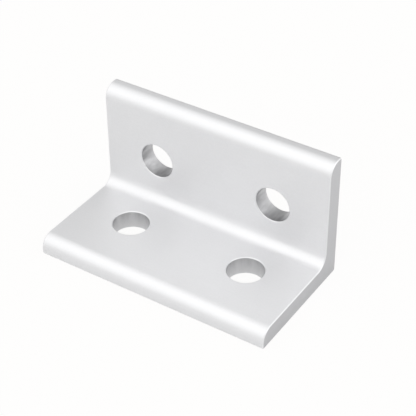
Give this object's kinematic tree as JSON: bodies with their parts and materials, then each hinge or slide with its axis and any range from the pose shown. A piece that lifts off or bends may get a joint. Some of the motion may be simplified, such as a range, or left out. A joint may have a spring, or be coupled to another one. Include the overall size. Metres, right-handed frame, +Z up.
{
  "type": "corner bracket",
  "caption": "Short aluminium angle bracket with rounded lips, a filleted inner corner and screw holes in both legs.",
  "frame": {"origin": "middle of the under face, on the line through the base leg's two hole centres", "axes": "+X along the corner, +Y from the base leg's free edge to the back face, +Z up the upright leg"},
  "size_m": [0.038, 0.02, 0.02],
  "materials": {
    "satin_aluminium": "fine bead-blasted and clear anodised, satin"
  },
  "bodies": {
    "root": {"bracket": "satin_aluminium"}
  },
  "joints": []
}
